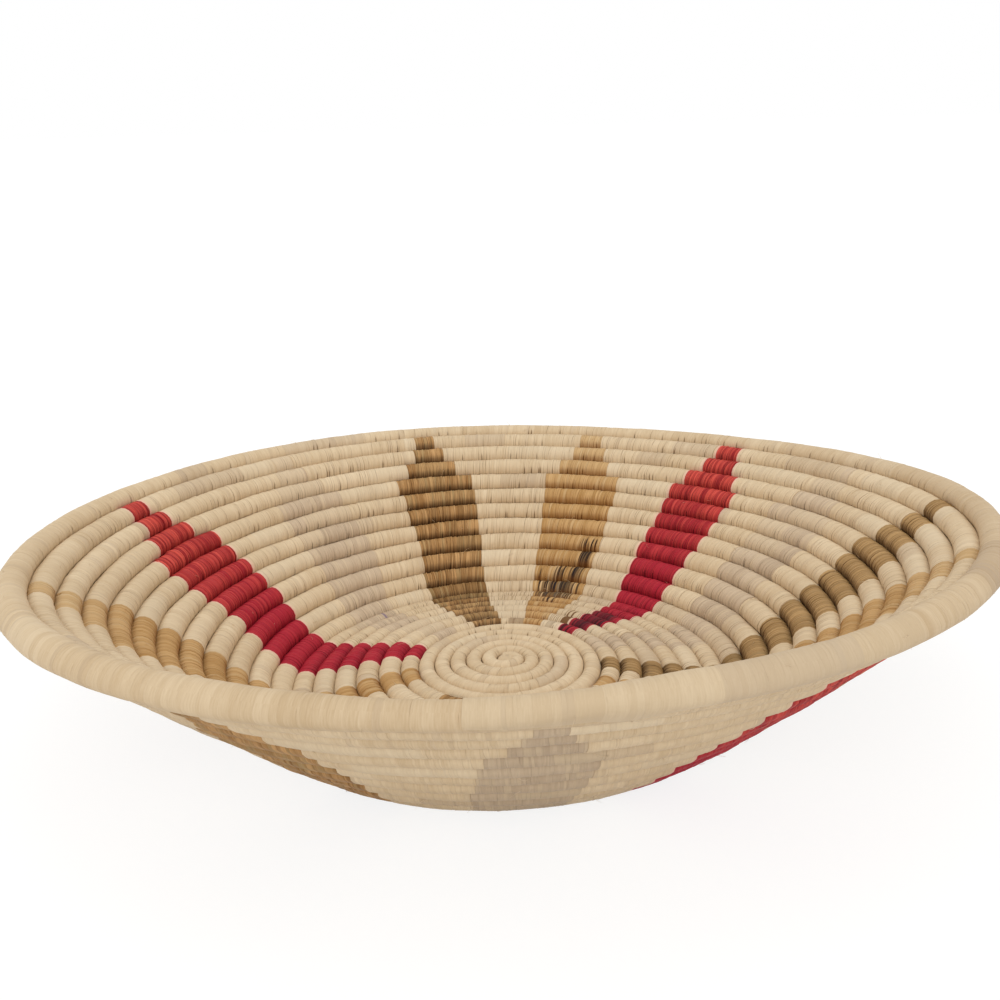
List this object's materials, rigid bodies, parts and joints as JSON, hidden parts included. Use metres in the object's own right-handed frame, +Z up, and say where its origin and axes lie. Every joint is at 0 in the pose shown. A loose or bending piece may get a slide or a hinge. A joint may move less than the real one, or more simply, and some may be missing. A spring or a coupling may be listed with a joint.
{
  "type": "coiled basket tray",
  "caption": "Wide shallow tray of coiled, raffia-wrapped fibre with a flat floor, flaring wall, thicker rim coil and stepped coloured petals",
  "frame": {"origin": "on the floor plane under the middle of the tray's outline", "axes": "+Z up, +X along the tray's longest width, +Y towards its back; the picture is taken from the -Y side"},
  "size_m": [0.3972, 0.371, 0.0924],
  "materials": {
    "cream_raffia": "natural raffia strands wrapped round the coil, matt with a faint waxy sheen",
    "red_raffia": "raffia dyed red, matt",
    "grey_raffia": "raffia dyed a faint warm grey, mottled, matt",
    "brown_raffia": "raffia dyed olive brown, matt",
    "tan_raffia": "raffia dyed tan, matt"
  },
  "bodies": {
    "root": {"centre_coil": "cream_raffia", "petal_red_1": "red_raffia", "petal_grey_1": "grey_raffia", "petal_brown_1": "brown_raffia", "petal_tan_1": "tan_raffia", "petal_red_2": "red_raffia", "petal_grey_2": "grey_raffia", "petal_brown_2": "brown_raffia", "petal_tan_2": "tan_raffia", "petal_red_3": "red_raffia", "petal_grey_3": "grey_raffia", "petal_brown_3": "brown_raffia", "petal_tan_3": "tan_raffia", "field_01": "cream_raffia", "field_02": "cream_raffia", "field_03": "cream_raffia", "field_04": "cream_raffia", "field_05": "cream_raffia", "field_06": "cream_raffia", "field_07": "cream_raffia", "field_08": "cream_raffia", "field_09": "cream_raffia", "field_10": "cream_raffia", "field_11": "cream_raffia", "field_12": "cream_raffia", "rim_coil": "cream_raffia"}
  },
  "joints": []
}
